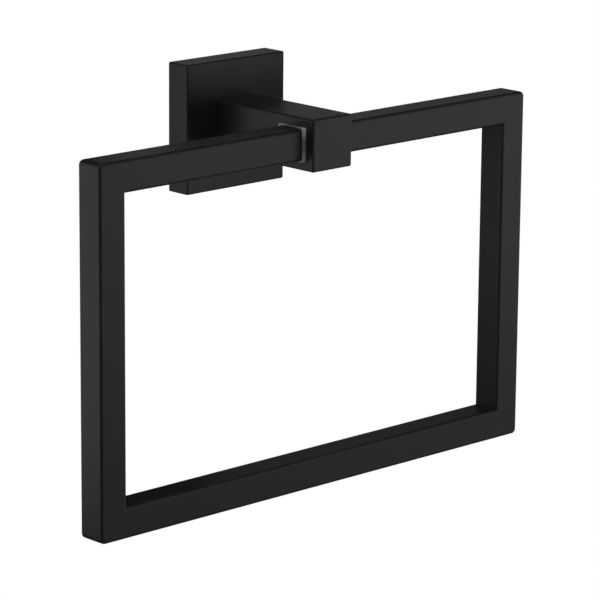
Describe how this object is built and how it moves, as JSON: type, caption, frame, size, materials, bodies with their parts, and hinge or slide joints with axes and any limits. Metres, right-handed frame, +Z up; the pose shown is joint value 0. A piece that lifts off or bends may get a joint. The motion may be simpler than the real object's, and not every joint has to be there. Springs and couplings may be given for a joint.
{
  "type": "towel ring",
  "caption": "Square wall-mounted towel ring: a rectangular tube frame whose top bar passes through a square post on a square backplate.",
  "frame": {"origin": "middle of the backplate's back face, on the wall", "axes": "+X to the right, +Y into the wall, +Z up"},
  "size_m": [0.218, 0.0637, 0.159],
  "materials": {
    "black_coat": "matte powder coat",
    "grey_nylon": "moulded",
    "bare_zinc": "as cast and tumbled",
    "screw_steel": "plain stainless"
  },
  "bodies": {
    "root": {"post_casting": "black_coat", "ring": "black_coat", "ring_liner": "grey_nylon", "wall_bracket": "bare_zinc", "bracket_screw": "screw_steel", "ring_screw": "screw_steel"}
  },
  "joints": []
}
